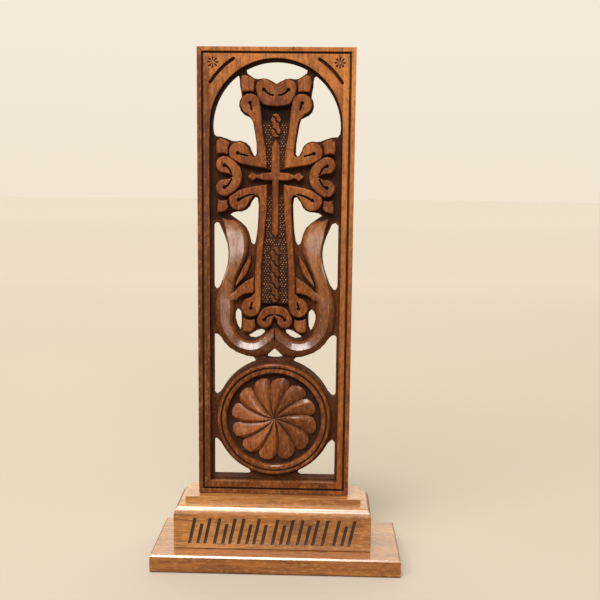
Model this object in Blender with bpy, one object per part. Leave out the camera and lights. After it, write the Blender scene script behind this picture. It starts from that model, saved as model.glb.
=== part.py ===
# Carved cross stone in souvenir form: an openwork wooden board on a moulded block and a plain bottom plate.
# Metres, +Z up, front towards -Y, the middle of the underside at the origin.
import math

import bpy
import bmesh
from mathutils import Matrix

# Bottom plate
PLATE_W = 0.0970
PLATE_D = 0.0380
PLATE_H = 0.0070
PLATE_EDGE = 0.0006
SEAT_GAP = 0.0003

# Moulded block: an upright face, a round shoulder, a narrow ledge and a low step
BLOCK_W = 0.0774
BLOCK_D = 0.0236
BLOCK_FACE_H = 0.0132
BLOCK_ROUND_IN = 0.0032
BLOCK_ROUND_UP = 0.0037
BLOCK_LEDGE = 0.0009
BLOCK_STEP_H = 0.0027
BLOCK_ROUND_STEPS = 6
BLOCK_ASIDE = -0.0015  # the block and its board stand a little left of the plate's middle

# Carved board
PANEL_W = 0.0594
PANEL_H = 0.1728
PANEL_T = 0.0080
SIDE_RAIL = 0.00455
BOTTOM_RAIL = 0.0050
TOP_RAIL = 0.0040
RAIL_LEDGE = 0.00095
SOFFIT_LEDGE = 0.00065
BOTTOM_LEDGE = 0.00075

# Depths below the board's face
GROUND_DEEP = 0.0030
PUNCHED_DEEP = 0.0012
INNER_DEEP = 0.0003
BORDER_DEEP = 0.0008
SLIT_DEEP = 0.0015
TWIST_DEEP = 0.0011
STAR_DEEP = 0.0007
WING_FOOT_DEEP = 0.0022
WING_RIDGE_DEEP = 0.00015
WING_INNER_DEEP = 0.0012
WING_CREASE_DEEP = 0.0016
CHAMFER = 0.00035
ROOT = 0.0010

# The carving is drawn on a grid: its width and height in grid units
GRID_W = 59.4
GRID_H = 172.8
UNIT_X = PANEL_W / GRID_W
UNIT_Z = PANEL_H / GRID_H
UNIT_Y = 0.001

# Widths of the carved lines, and the border line, in grid units
BORDER_IN = 1.6
BORDER_W = 0.9
SLIT_W = 0.9
HOLE_R = 0.78
TWIST_W = 0.7
TWIST_SWELL = 0.2
TWIST_END = 0.4
SLOT_W = 1.3
SLOT_OUT = 4.35
SLOT_FROM = 33.3
SLOT_TO = 57.2
STAR_IN = 6.0
STAR_DOWN = 5.7
STAR_R = 2.2
STAR_HOLE = 0.55
STAR_PETALS = 8

# Round forms of the cross, each as distance aside, height and radius
TOP_CURL = (9.7, 152.0, 3.85)
UPPER_CURL = (14.0, 134.15, 3.8)
UNDER_CURL = (14.0, 116.05, 3.8)
LOW_CURL = (9.2, 75.0, 3.75)
UPPER_NOTCH = (8.2, 133.6, 1.25)
UNDER_NOTCH = (7.5, 116.7, 1.45)
CROWN_LOBE = (4.45, 157.9, 3.25)
FOOT_LOBE = (3.9, 69.9, 3.0)
BRACKET_CURL = (19.4, 4.35, 3.25)  # its height is from the side arms' middle line
CURL_LEDGE = 0.6

# The heart's inner rim below the leaves, an oval: distance aside, height, half width and half height
HEART_OVAL = (9.2, 70.6, 7.5, 9.3)
WING_STEPS = 3
WING_TIP_STEPS = 2  # over these steps the leaf's inner line comes down from the ridge at its tip

# Twisted bars inside the cross: low end, high end, half width, turns
UPPER_TWIST = (139.6, 148.6, 1.9, 2)
LOWER_TWIST = (76.8, 98.6, 1.9, 5)

# Rosette at the foot, in grid units, with its depths in metres
DISC_H = 30.3
DISC_R = 22.3
DISC_LEDGE = 1.2
DISC_LINE_R = 20.75
DISC_RIM_R = 18.7
DISC_WALL_LEAN = 0.2
DISC_FLOOR_DEEP = 0.0027
DISC_STEPS = 60
PETALS = 12
PETAL_R = 17.0
PETAL_TIP_R = 3.4
PETAL_STEPS = 6
PETAL_PEAK = 0.72  # each petal's ridge lies near its far edge, as a share of its width
PETAL_RINGS = (0.10, 0.30, 0.55, 0.78, 0.93, 1.0)  # shares of the petals' length
PETAL_FIRST = 77.75
PETAL_SWEEP = 15.0
PETAL_BEND = 1.3
PETAL_FLAT_HEART = 0.35
PETAL_FULL_FROM = 0.45
PETAL_FALL_FROM = 0.78
PETAL_FALL = 0.00055
PETAL_RIDGE_DEEP = 0.00075
PETAL_VALLEY_DEEP = 0.0020
PETAL_ABOVE_FLOOR = 0.0005
DIMPLE_DEEP = 0.0023

# Strokes on the front of the block: each group's ends as shares of the block's width from its middle
STROKE_GROUPS = ((-0.421, -0.311), (-0.289, -0.190), (-0.159, -0.037), (0.006, 0.103),
                 (0.129, 0.234), (0.259, 0.278), (0.313, 0.417))
STROKE_FROM_FOOT = 0.0018
STROKE_FROM_SHOULDER = 0.0009
STROKE_SHORTER = 0.0022
STROKE_W = 0.0013
STROKE_STEP = 0.0030
STROKE_DEEP = 0.0007
STROKE_LEAN = 0.22

# What follows from the sizes above
BLOCK_FOOT = PLATE_H + SEAT_GAP
BLOCK_TOP = BLOCK_FOOT + BLOCK_FACE_H + BLOCK_ROUND_UP + BLOCK_STEP_H
PANEL_FOOT = BLOCK_TOP + SEAT_GAP
HALF = GRID_W / 2
FIELD = HALF - SIDE_RAIL / UNIT_X
FIELD_LOW = BOTTOM_RAIL / UNIT_Z
OPEN_SIDE = FIELD - RAIL_LEDGE / UNIT_X
OPEN_LOW = FIELD_LOW + BOTTOM_LEDGE / UNIT_Z
ARCH_CENTRE = GRID_H - TOP_RAIL / UNIT_Z - FIELD
ARCH_OPEN = FIELD - SOFFIT_LEDGE / UNIT_X

# Colours, linear, and roughness
WALNUT = (0.23, 0.085, 0.04)
HONEY = (0.50, 0.25, 0.09)
RUSSET = (0.33, 0.13, 0.05)
SATIN = 0.42


def clear():
    for old in list(bpy.data.objects):
        bpy.data.objects.remove(old, do_unlink=True)


def wood(obj, name, colour):
    material = bpy.data.materials.new(name)
    material.use_nodes = True
    shader = material.node_tree.nodes["Principled BSDF"]
    shader.inputs["Base Color"].default_value = (*colour, 1.0)
    shader.inputs["Roughness"].default_value = SATIN
    shader.inputs["Metallic"].default_value = 0.0
    obj.data.materials.clear()
    obj.data.materials.append(material)


# Outlines on the grid

def polar(cx, ch, r, angle):
    a = math.radians(angle)
    return (cx + r * math.cos(a), ch + r * math.sin(a))


def arc(cx, ch, r, a0, a1, steps):
    return [polar(cx, ch, r, a0 + (a1 - a0) * i / steps) for i in range(steps + 1)]


def oval_point(angle, wider=0.0):
    """A point on the heart's inner rim, or on a wider oval about it."""
    x, h, half_w, half_h = HEART_OVAL
    a = math.radians(angle)
    return (x + (half_w + wider) * math.cos(a), h + (half_h + wider) * math.sin(a))


def smooth(points, steps, closed):
    n = len(points)
    out = []
    spans = n if closed else n - 1
    for i in range(spans):
        if closed:
            p = [points[(i + k - 1) % n] for k in range(4)]
        else:
            p = [points[min(max(i + k - 1, 0), n - 1)] for k in range(4)]
        for s in range(steps):
            t = s / steps
            q = []
            for k in range(2):
                a, b, c, d = p[0][k], p[1][k], p[2][k], p[3][k]
                q.append(0.5 * (2 * b + (c - a) * t + (2 * a - 5 * b + 4 * c - d) * t * t
                                + (3 * b - a - 3 * c + d) * t ** 3))
            out.append(tuple(q))
    if not closed:
        out.append(points[-1])
    return out


def mirror(points):
    return [(-x, h) for x, h in reversed(points)]


def both(points):
    return [points, mirror(points)]


def whole(right_half):
    """Closed outline from its right half, which starts and ends on the middle line."""
    left = [(-x, h) for x, h in reversed(right_half) if abs(x) > 1e-6]
    return right_half + left


def area(points):
    return 0.5 * sum(a[0] * b[1] - b[0] * a[1] for a, b in zip(points, points[1:] + points[:1]))


def turned(points):
    return points if area(points) > 0 else list(reversed(points))


def inset(points, by):
    n = len(points)
    out = []
    for i in range(n):
        a, b, c = points[i - 1], points[i], points[(i + 1) % n]
        ux, uh = b[0] - a[0], b[1] - a[1]
        vx, vh = c[0] - b[0], c[1] - b[1]
        lu = math.hypot(ux, uh)
        lv = math.hypot(vx, vh)
        nx, nh = -uh / lu - vh / lv, ux / lu + vx / lv
        ln = max(math.hypot(nx, nh), 1e-6)
        nx, nh = nx / ln, nh / ln
        cosine = max(0.6, nx * -uh / lu + nh * ux / lu)
        out.append((b[0] + nx * by / cosine, b[1] + nh * by / cosine))
    return out


def stroke(path, widths, cap=3):
    """Outline around a path, with round ends; widths at the two ends."""
    n = len(path)
    left, right = [], []
    for i, p in enumerate(path):
        a = path[max(i - 1, 0)]
        b = path[min(i + 1, n - 1)]
        dx, dh = b[0] - a[0], b[1] - a[1]
        ln = math.hypot(dx, dh)
        w = 0.5 * (widths[0] + (widths[1] - widths[0]) * i / (n - 1))
        left.append((p[0] - dh / ln * w, p[1] + dx / ln * w))
        right.append((p[0] + dh / ln * w, p[1] - dx / ln * w))

    def cap_points(tip, before, w):
        a0 = math.degrees(math.atan2(tip[1] - before[1], tip[0] - before[0]))
        return arc(tip[0], tip[1], w / 2, a0 - 90, a0 + 90, cap + 1)[1:-1]
    return turned(right + cap_points(path[-1], path[-2], widths[1]) + list(reversed(left))
                  + cap_points(path[0], path[1], widths[0]))


def keyhole(path):
    """A round hole with a slit that leads out of it."""
    hole = path[0]
    slit = path[1:]
    a0 = math.degrees(math.atan2(slit[0][1] - hole[1], slit[0][0] - hole[0]))
    gap = math.degrees(math.asin(0.5 * SLIT_W / HOLE_R))
    ring = arc(hole[0], hole[1], HOLE_R, a0 + gap, a0 + 360 - gap, 7)
    body = stroke([hole] + slit, (SLIT_W, SLIT_W * 0.8), 2)
    keep = [p for p in body if math.hypot(p[0] - hole[0], p[1] - hole[1]) > HOLE_R * 1.05]
    away = [math.hypot(p[0] - ring[-1][0], p[1] - ring[-1][1]) for p in keep]
    start = away.index(min(away))
    keep = keep[start:] + keep[:start]
    return turned(ring + keep)


# Solids from outlines

def place(x, h, deep):
    return (x, (deep - PANEL_T / 2) / UNIT_Y, h)


def rings_solid(bm, rings):
    """rings: list of (outline, depth) from the front to the back."""
    made = []
    for outline, deep in rings:
        made.append([bm.verts.new(place(x, h, deep)) for x, h in outline])
    n = len(made[0])
    bm.faces.new(made[0])
    for front, back in zip(made, made[1:]):
        for i in range(n):
            j = (i + 1) % n
            bm.faces.new((front[i], back[i], back[j], front[j]))
    bm.faces.new(list(reversed(made[-1])))


def finish_mesh(bm, name, split=False):
    if split:
        bmesh.ops.triangulate(bm, faces=bm.faces[:])
    bmesh.ops.recalc_face_normals(bm, faces=bm.faces[:])
    mesh = bpy.data.meshes.new(name)
    bm.to_mesh(mesh)
    bm.free()
    obj = bpy.data.objects.new(name, mesh)
    bpy.context.scene.collection.objects.link(obj)
    return obj


def prisms(name, outlines, front, back):
    bm = bmesh.new()
    for outline in outlines:
        outline = turned(outline)
        rings_solid(bm, [(outline, front), (outline, back)])
    return finish_mesh(bm, name)


def raised(name, outlines, top):
    bm = bmesh.new()
    for outline in outlines:
        outline = turned(outline)
        edge = inset(outline, CHAMFER / UNIT_X)
        rings_solid(bm, [(edge, top), (outline, top + CHAMFER), (outline, GROUND_DEEP + ROOT)])
    return finish_mesh(bm, name)


def combine(target, tool, operation):
    mod = target.modifiers.new("carve", "BOOLEAN")
    mod.operation = operation
    mod.solver = "EXACT"
    mod.object = tool
    bpy.context.view_layer.update()
    shaped = bpy.data.meshes.new_from_object(target.evaluated_get(bpy.context.evaluated_depsgraph_get()))
    target.modifiers.clear()
    old = target.data
    target.data = shaped
    bpy.data.meshes.remove(old)
    bpy.data.objects.remove(tool, do_unlink=True)


# The carving

def arch_field():
    right = [(0.0, ARCH_CENTRE + FIELD)] + arc(0, ARCH_CENTRE, FIELD, 90, 0, 14)[1:]
    right = right + [(FIELD, FIELD_LOW), (0.0, FIELD_LOW)]
    return whole(right)


def top_opening():
    low = [(0.0, 159.7), (1.6, 160.6), (3.4, 161.5), (5.2, 161.7), (6.8, 161.4), (8.3, 161.6), (10.0, 162.7)]
    high = arc(0, ARCH_CENTRE, ARCH_OPEN, 61.5, 90, 6)
    high[-1] = (0.0, ARCH_CENTRE + ARCH_OPEN)
    return whole(low + [polar(0, ARCH_CENTRE, ARCH_OPEN - 1.6, 60.5)] + high)


def around(curl, a0, a1, steps):
    """The edge of an opening that follows a curl at the width of its ledge."""
    x, h, r = curl
    return arc(x, h, r + CURL_LEDGE, a0, a1, steps)


def upper_opening():
    """Beside the upper arm: the arch, the side arm's top, and the upper arm's edge and curl."""
    petal = [(OPEN_SIDE, 141.3), (OPEN_SIDE - 0.9, 140.2), (21.0, 140.0), (18.8, 139.3), (16.9, 138.5)]
    notch = [(8.7, 133.0), (7.9, 132.8), (7.4, 133.8)]
    arm = [(7.5, 137.5), (8.1, 141.5), (8.7, 145.0), (9.3, 146.9)]
    petal_side = [(13.3, 156.6), (13.8, 159.0), (13.9, 161.3), polar(0, ARCH_CENTRE, ARCH_OPEN - 1.0, 53)]
    return (arc(0, ARCH_CENTRE, ARCH_OPEN, 52.6, 0, 9) + petal + around(UPPER_CURL, 72, 172, 4) + notch + arm
            + around(TOP_CURL, -76, 40, 5) + petal_side)


def under_opening():
    """Below the side arm, between the lower arm and the leaf."""
    arm = [(8.0, 117.5), (6.9, 117.0), (6.55, 114.5), (6.7, 109.5), (7.1, 104.0), (7.7, 100.2), (8.6, 98.7)]
    leaf = smooth([(9.6, 99.5), (11.7, 105.6), (17.9, 110.4)], 3, False)
    return arm + leaf + [(16.6, 111.3)] + around(UNDER_CURL, -80, -170, 4)


def leaf_opening():
    """Crescent between the leaf and the side rail."""
    s = OPEN_SIDE
    rail = [(s - 1.2, 107.7), (s, 106.6), (s, 82.6), (s - 0.6, 81.4), (s - 1.5, 81.4)]
    return rail + smooth([(21.3, 83.3), (18.6, 91.3), (18.5, 99.0), (21.7, 107.3)], 3, False)


def heart_openings():
    outer = [(14.2, 74.1), (13.2, 73.0), (13.0, 70.0), (13.2, 66.8), (14.0, 65.0), (15.0, 66.8), (15.8, 69.5),
             (15.8, 71.8), (15.1, 73.5)]
    inner = [(10.9, 63.2), (9.0, 64.3), (7.2, 65.5), (5.2, 66.1), (3.9, 65.6), (4.4, 63.9), (6.0, 62.6),
             (7.8, 61.9), (9.8, 62.1)]
    return [outer, inner]


def disc_openings():
    """Above and below the rosette, at the rail."""
    s = OPEN_SIDE
    r = DISC_R + DISC_LEDGE
    start = math.degrees(math.acos(min(0.98, (s - 3.17) / r)))
    rise = r * math.sin(math.radians(start))
    high = DISC_H + rise
    low = DISC_H - rise
    side = [(s, 63.2), (s, high - 1.2), (s - 0.8, high - 2.1), (s - 1.8, high - 1.6)]
    heart = [(7.6, 54.0), (8.3, 54.9), (11.0, 55.3), (15.2, 56.8), (18.6, 59.5), (21.0, 62.6)]
    above = side + arc(0, DISC_H, r, start, 71.5, 8) + heart + [(s - 1.8, 63.9), (s - 0.7, 64.0)]
    side = [(s, low + 0.8), (s - 1.0, low + 2.0), (s - 2.0, low + 1.4)]
    rail = [(9.3, OPEN_LOW + 2.1), (9.6, OPEN_LOW + 0.6), (10.6, OPEN_LOW), (s, OPEN_LOW)]
    return [above, side + arc(0, DISC_H, r, -start, -65.0, 8) + rail]


def openings():
    triangle = whole([(0.0, 54.1), (1.0, 54.1), (2.9, 54.4), (2.9, 55.7), (1.4, 57.2), (0.0, 58.4)])
    out = [top_opening(), triangle]
    for outline in [upper_opening(), under_opening(), leaf_opening()] + heart_openings() + disc_openings():
        out.extend(both(outline))
    return out


def upper_band():
    """Edge of the upper arm on one side, from its curl by the crown to its curl on the side arm."""
    arm = [(8.35, 145.2), (7.9, 142.0), (7.3, 138.0), (6.95, 134.6)]
    notch = arc(*UPPER_NOTCH, 200, 325, 3)
    groove = [(15.5, 131.0), (13.4, 129.9), (10.0, 129.2), (3.4, 128.2)]
    inner = [(3.3, 131.0), (3.8, 136.0), (4.9, 141.5), (5.3, 146.0), (5.6, 149.5)]
    return arc(*TOP_CURL, 150, -75, 11) + arm + notch + arc(*UPPER_CURL, 150, -35, 9) + groove + inner


def lower_band():
    """Edge of the lower arm on one side, from its curl on the side arm to its curl by the foot."""
    groove = [(16.2, 118.4), (14.2, 119.8), (11.0, 120.9), (7.0, 121.6), (3.2, 122.1)]
    inner = [(3.1, 118.0), (3.35, 112.0), (4.6, 97.5), (5.2, 91.5), (5.3, 84.0), (5.2, 77.5), (5.5, 75.0)]
    arm = [(7.9, 80.5), (7.65, 89.0), (6.6, 103.0), (6.1, 111.0)]
    notch = arc(*UNDER_NOTCH, 190, 25, 4)
    return groove + inner + arc(*LOW_CURL, -145, 85, 11) + arm + notch + arc(*UNDER_CURL, -150, 22, 9)


def crown():
    low = smooth([(0.0, 151.2), (4.9, 152.0), (7.2, 155.6)], 3, False)
    return whole(low + arc(*CROWN_LOBE, 0, 140, 8) + [(0.0, 159.2)])


def foot():
    high = smooth([(0.0, 75.6), (4.0, 74.8), (6.4, 71.8)], 3, False)
    return whole(high + arc(*FOOT_LOBE, 10, -175, 10) + [(0.35, 71.0), (0.0, 71.4)])


def bracket():
    """The pair of curls that closes the end of a side arm."""
    middle = (UPPER_CURL[1] + UNDER_CURL[1]) / 2
    ends = arc(*BRACKET_CURL, -100, 115, 10)
    half = [(16.2, 0.0), (17.4, 0.9)] + ends + [(15.3, 5.5), (13.7, 3.7), (12.95, 1.9), (12.75, 0.0)]
    low = [(x, -up) for x, up in reversed(half[1:-1])]
    return [(x, middle + up) for x, up in half + low]


def corner_petals():
    """Small leaves in the corners: beside the crown, above and below the side arms, and beside the foot."""
    return [
        [(8.0, 160.7), (9.5, 161.7), (11.3, 162.5), (12.9, 162.3), (13.3, 159.5), (12.7, 156.4),
         (11.0, 156.5), (9.3, 156.6), (8.3, 156.4), (8.1, 158.5)],
        [(18.2, 133.2), (20.2, 133.8), (22.3, 133.5), (22.6, 136.0), (22.3, 138.3), (20.9, 139.4),
         (18.9, 138.6), (17.4, 137.6), (18.1, 135.7)],
        [(18.3, 116.2), (20.2, 115.9), (21.8, 116.3), (22.1, 113.8), (22.1, 111.4), (20.4, 111.6),
         (18.9, 112.1), (17.9, 113.3), (18.3, 114.7)],
        [(7.7, 70.3), (9.2, 69.9), (10.7, 70.1), (12.1, 70.7), (12.4, 68.2), (12.2, 65.7), (10.7, 65.2),
         (9.1, 65.3), (8.1, 66.3), (7.4, 67.6), (7.6, 69.0)],
    ]


def keyholes():
    return [
        [(4.6, 157.25), (3.4, 156.1), (2.2, 155.45), (1.0, 155.2)],
        [(9.75, 152.4), (9.4, 151.2), (9.0, 149.9)],
        [(14.4, 133.8), (12.6, 133.3), (10.8, 132.8)],
        [(19.4, 129.2), (18.0, 128.5), (17.1, 127.0), (16.7, 126.0)],
        [(19.4, 121.0), (18.0, 121.7), (17.1, 123.2), (16.7, 124.2)],
        [(14.0, 116.3), (12.2, 117.3), (10.2, 118.1), (8.4, 118.5)],
        [(9.2, 74.7), (9.1, 75.9), (8.7, 77.0)],
        [(3.95, 70.2), (3.1, 71.3), (1.9, 71.95), (0.7, 72.2)],
    ]


def small_cross():
    top, low = 139.0, 102.0
    right = [(0.0, low), (1.1, 103.6), (1.25, 123.7), (4.6, 123.7), (5.6, 124.0), (7.1, 124.5),
             (8.9, 123.4), (10.6, 125.1), (8.9, 126.8), (7.1, 125.7), (5.6, 126.2), (4.6, 126.5),
             (1.7, 126.7), (1.5, 136.5), (0.0, top)]
    return whole(right)


def twist_bar(low, high, half_w, turns):
    """A bar whose sides swell and pinch along its length."""
    right = [(0.0, low)]
    n = turns * 4
    for i in range(n + 1):
        s = i / n
        w = half_w * (1 - TWIST_SWELL * (1 + math.cos(2 * math.pi * turns * s)))
        right.append((w, low + TWIST_END + (high - low - 2 * TWIST_END) * s))
    right.append((0.0, high))
    return whole(right)


def twist_cuts(low, high, half_w, turns):
    """Slanting cuts that part the strands of a twisted bar."""
    out = []
    pitch = (high - low) / turns
    for k in range(turns):
        middle = low + pitch * (k + 0.5)
        path = [(-half_w * 0.8, middle + pitch * 0.3), (-half_w * 0.15, middle + pitch * 0.16),
                (half_w * 0.15, middle - pitch * 0.16), (half_w * 0.8, middle - pitch * 0.3)]
        out.append(stroke(path, (TWIST_W, TWIST_W), 2))
    return out


def tongues():
    """Two pointed leaves between the lower arm and the wing."""
    upper = smooth([(9.3, 95.2), (12.1, 90.7), (14.8, 84.9)], 3, False)
    upper = upper + [(15.2, 83.2)] + smooth([(14.1, 84.2), (11.0, 87.9), (9.2, 92.9)], 3, False)
    under = [oval_point(angle, 0.7) for angle in range(44, 97, 13)]
    lower = under + [(8.1, 81.3), (8.0, 86.7), (11.0, 85.2), (13.6, 83.2), (15.6, 80.9), (15.9, 79.6)]
    return [upper, lower]


def between(a, b, share):
    return (a[0] + (b[0] - a[0]) * share, a[1] + (b[1] - a[1]) * share)


def wing():
    """Leaf and heart lobe: stations of outer foot, outer ridge, inner ridge and inner foot."""
    outer = [(20.6, 109.0), (19.2, 103.4), (18.1, 97.0), (18.6, 90.4), (21.2, 83.2), (23.3, 75.6),
             (22.6, 66.4), (17.8, 58.7), (9.6, 55.5), (2.9, 56.5), (-0.3, 59.1)]
    inner = [(19.4, 109.2), (13.2, 107.0), (10.3, 99.6), (12.4, 91.2), (15.7, 83.0)]
    inner = inner + [oval_point(angle) for angle in (26, -17, -60, -103, -146)] + [(-0.3, 69.0)]
    ridges = [(0.3, 0.7), (0.1, 0.8), (0.09, 0.79), (0.1, 0.78), (0.14, 0.7), (0.3, 0.8), (0.38, 0.85),
              (0.44, 0.85), (0.45, 0.85), (0.5, 0.85), (0.55, 0.9)]
    stations = []
    lines = [smooth(line, WING_STEPS, False) for line in (outer, inner, ridges)]
    for a, b, share in zip(*lines):
        stations.append((a, between(a, b, share[0]), between(a, b, share[1]), b))
    return stations


def wing_depths(number):
    """Depths of a station's four points; the first station is the leaf's tip."""
    full = min(1.0, number / WING_TIP_STEPS)
    inner = WING_RIDGE_DEEP + (WING_INNER_DEEP - WING_RIDGE_DEEP) * full
    return (WING_FOOT_DEEP, WING_RIDGE_DEEP, inner, WING_FOOT_DEEP)


def wing_solid(bm, flip):
    stations = wing()
    depths = [wing_depths(number) for number in range(len(stations))]
    depths[-1] = (WING_FOOT_DEEP, WING_CREASE_DEEP, WING_CREASE_DEEP, WING_FOOT_DEEP)
    rings = []
    for station, station_depths in zip(stations, depths):
        ring = [bm.verts.new(place(flip * x, h, deep)) for (x, h), deep in zip(station, station_depths)]
        for x, h in (station[3], station[0]):
            ring.append(bm.verts.new(place(flip * x, h, GROUND_DEEP + ROOT)))
        rings.append(ring)
    n = len(rings[0])
    for a, b in zip(rings, rings[1:]):
        for i in range(n):
            j = (i + 1) % n
            bm.faces.new((a[i], a[j], b[j], b[i]))
    bm.faces.new(rings[0])
    bm.faces.new(list(reversed(rings[-1])))


def disc_solid(bm):
    line = DISC_LINE_R
    half_line = BORDER_W / 2
    edge = CHAMFER / UNIT_X
    profile = [(DISC_R, GROUND_DEEP + ROOT), (DISC_R, CHAMFER), (DISC_R - edge, 0.0), (line + half_line, 0.0),
               (line, BORDER_DEEP), (line - half_line, 0.0), (DISC_RIM_R + edge, 0.0), (DISC_RIM_R, CHAMFER),
               (DISC_RIM_R - DISC_WALL_LEAN, DISC_FLOOR_DEEP)]
    rings = []
    for r, deep in profile:
        rings.append([bm.verts.new(place(x, h, deep)) for x, h in arc(0, DISC_H, r, 0, 360, DISC_STEPS)[:-1]])
    bm.faces.new(list(reversed(rings[0])))
    for a, b in zip(rings, rings[1:]):
        for i in range(DISC_STEPS):
            j = (i + 1) % DISC_STEPS
            bm.faces.new((a[i], a[j], b[j], b[i]))
    bm.faces.new(rings[-1])


def petal_depth(across, along):
    """Depth on a petal, from its width and its length as shares: a ridge near one edge, lower at the tip."""
    side = PETAL_PEAK if across < PETAL_PEAK else 1 - PETAL_PEAK
    swell = PETAL_FLAT_HEART + (1 - PETAL_FLAT_HEART) * min(1.0, along / PETAL_FULL_FROM)
    height = (1 - ((across - PETAL_PEAK) / side) ** 2) * swell
    fall = PETAL_FALL * (max(0.0, along - PETAL_FALL_FROM) / (1 - PETAL_FALL_FROM)) ** 2
    deep = PETAL_VALLEY_DEEP + (PETAL_RIDGE_DEEP - PETAL_VALLEY_DEEP) * height + fall
    return min(deep, DISC_FLOOR_DEEP - PETAL_ABOVE_FLOOR)


def whirl_solid(bm):
    """Convex petals that turn about a small dimple."""
    n = PETALS * PETAL_STEPS
    rings = []
    for along in PETAL_RINGS:
        ring = []
        for i in range(n):
            u = -math.cos(math.pi * (i % PETAL_STEPS) / PETAL_STEPS)
            r = along * (PETAL_R - PETAL_TIP_R + PETAL_TIP_R * math.sqrt(1 - u * u))
            sweep = PETAL_SWEEP * (1 - (r / PETAL_R) ** PETAL_BEND)
            angle = PETAL_FIRST + 360 * (i // PETAL_STEPS) / PETALS + u * 180 / PETALS + sweep
            ring.append((*polar(0, DISC_H, r, angle), petal_depth((u + 1) / 2, along)))
        rings.append(ring)
    rings.append([(x, h, DISC_FLOOR_DEEP + ROOT / 2) for x, h, deep in rings[-1]])
    made = [[bm.verts.new(place(*p)) for p in ring] for ring in rings]
    middle = bm.verts.new(place(0, DISC_H, DIMPLE_DEEP))
    for i in range(n):
        bm.faces.new((middle, made[0][i], made[0][(i + 1) % n]))
    for a, b in zip(made, made[1:]):
        for i in range(n):
            j = (i + 1) % n
            bm.faces.new((a[i], b[i], b[j], a[j]))
    bm.faces.new(list(reversed(made[-1])))


def star_petals():
    out = []
    for i in range(STAR_PETALS):
        angle = 360 * i / STAR_PETALS
        near = polar(HALF - STAR_IN, GRID_H - STAR_DOWN, STAR_HOLE, angle)
        far = polar(HALF - STAR_IN, GRID_H - STAR_DOWN, STAR_R - 0.35, angle)
        out.append(stroke([near, far], (0.25, 0.7), 1))
    return out


def border_line():
    bm = bmesh.new()
    outside = -1.0 * UNIT_Y
    loops = []
    for by, deep in ((BORDER_IN, outside), (BORDER_IN, BORDER_DEEP), (BORDER_IN + BORDER_W, BORDER_DEEP),
                     (BORDER_IN + BORDER_W, outside)):
        w = HALF - by
        corners = ((-w, by), (w, by), (w, GRID_H - by), (-w, GRID_H - by))
        loops.append([bm.verts.new(place(x, h, deep)) for x, h in corners])
    for a, b in zip(loops, loops[1:] + loops[:1]):
        for i in range(4):
            j = (i + 1) % 4
            bm.faces.new((a[i], a[j], b[j], b[i]))
    return finish_mesh(bm, "border")


def board():
    outside = 1.0 * UNIT_Y
    sheet = [(-HALF, 0), (HALF, 0), (HALF, GRID_H), (-HALF, GRID_H)]
    obj = prisms("khachkar_panel", [sheet], 0.0, PANEL_T)
    combine(obj, prisms("field", [arch_field()], -outside, GROUND_DEEP), "DIFFERENCE")
    combine(obj, prisms("openings", openings(), -outside, PANEL_T + outside), "DIFFERENCE")
    return obj


def add_cross(obj):
    grounds = [whole([(0.0, 127.4), (3.8, 127.9), (5.6, 133.0), (5.7, 146.2), (0.0, 146.2)]),
               whole([(0.0, 76.5), (5.7, 76.5), (5.7, 91.5), (3.6, 112.0), (3.4, 118.0), (0.0, 118.0)])]
    combine(obj, prisms("grounds", grounds, PUNCHED_DEEP, GROUND_DEEP + ROOT), "UNION")
    shapes = [crown(), foot()]
    for shape in [upper_band(), lower_band(), bracket()] + corner_petals() + tongues():
        shapes.extend(both(shape))
    for shape in shapes:
        combine(obj, raised("band", [shape], 0.0), "UNION")
    inner = [small_cross(), twist_bar(*UPPER_TWIST), twist_bar(*LOWER_TWIST)]
    combine(obj, raised("inner", inner, INNER_DEEP), "UNION")


def add_wings(obj):
    for flip in (1, -1):
        bm = bmesh.new()
        wing_solid(bm, flip)
        combine(obj, finish_mesh(bm, "wing", True), "UNION")


def add_rosette(obj):
    bm = bmesh.new()
    disc_solid(bm)
    combine(obj, finish_mesh(bm, "disc"), "UNION")
    bm = bmesh.new()
    whirl_solid(bm)
    combine(obj, finish_mesh(bm, "whirl", True), "UNION")


def cut_lines(obj):
    outside = -1.0 * UNIT_Y
    holes = both(stroke(arc(0, ARCH_CENTRE, FIELD + SLOT_OUT, SLOT_FROM, SLOT_TO, 6), (SLOT_W, SLOT_W), 3))
    for path in keyholes():
        holes.extend(both(keyhole(path)))
    combine(obj, prisms("holes", holes, outside, SLIT_DEEP), "DIFFERENCE")
    twists = twist_cuts(*UPPER_TWIST) + twist_cuts(*LOWER_TWIST)
    combine(obj, prisms("twists", twists, outside, TWIST_DEEP), "DIFFERENCE")
    stars = []
    for petal in star_petals():
        stars.extend(both(petal))
    combine(obj, prisms("stars", stars, outside, STAR_DEEP), "DIFFERENCE")
    combine(obj, border_line(), "DIFFERENCE")


def build_panel():
    obj = board()
    add_cross(obj)
    add_wings(obj)
    add_rosette(obj)
    cut_lines(obj)
    size = Matrix.Diagonal((UNIT_X, UNIT_Y, UNIT_Z, 1.0))
    obj.data.transform(Matrix.Translation((BLOCK_ASIDE, 0, PANEL_FOOT)) @ size)
    wood(obj, "walnut", WALNUT)


# Base

def stepped(name, levels):
    """levels: (half width, half depth, height) from the bottom to the top."""
    bm = bmesh.new()
    rings = []
    for w, d, z in levels:
        rings.append([bm.verts.new(p) for p in ((-w, -d, z), (w, -d, z), (w, d, z), (-w, d, z))])
    bm.faces.new(list(reversed(rings[0])))
    for a, b in zip(rings, rings[1:]):
        for i in range(4):
            j = (i + 1) % 4
            bm.faces.new((a[i], a[j], b[j], b[i]))
    bm.faces.new(rings[-1])
    return finish_mesh(bm, name)


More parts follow.
